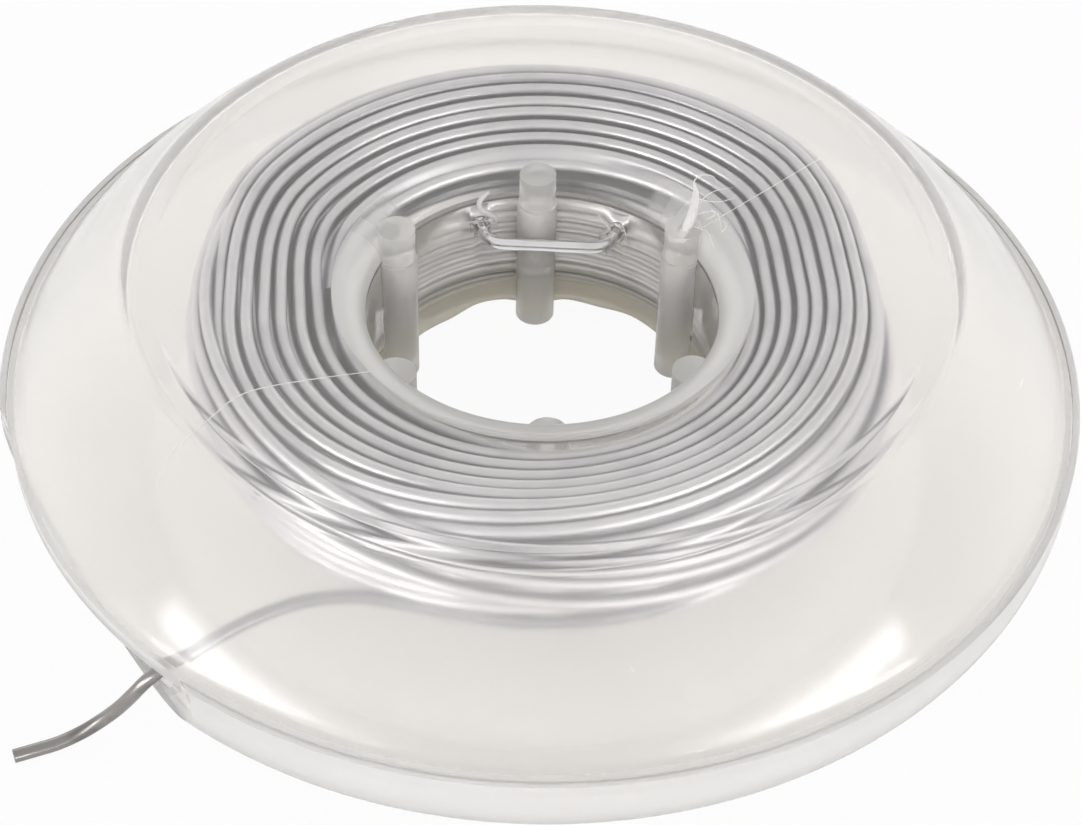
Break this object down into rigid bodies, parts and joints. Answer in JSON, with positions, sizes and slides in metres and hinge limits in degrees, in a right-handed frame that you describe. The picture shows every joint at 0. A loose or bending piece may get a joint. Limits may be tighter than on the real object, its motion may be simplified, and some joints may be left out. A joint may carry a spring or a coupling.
{
  "type": "solder wire spool",
  "caption": "Low round spool of soft solder wire held between two clear, pinned plastic shells; the wire's free end comes out through a flat on the rim.",
  "frame": {"origin": "centre of the bore, on the surface that the foot ring lies on", "axes": "+Z along the bore, from the foot ring to the shoulder ring; the wire's free end leaves towards -X and -Y"},
  "size_m": [0.066, 0.066, 0.0166],
  "materials": {
    "clear_plastic": "milky clear moulding, glossy, rubbed on the rim",
    "solder_wire": "dull silver-grey drawn tin solder"
  },
  "bodies": {
    "root": {"upper_shell": "clear_plastic", "lower_shell": "clear_plastic", "wire_core": "solder_wire", "wire_winding": "solder_wire", "wire_underwinding": "solder_wire", "wire_anchor": "solder_wire", "wire_tail": "solder_wire"}
  },
  "joints": []
}
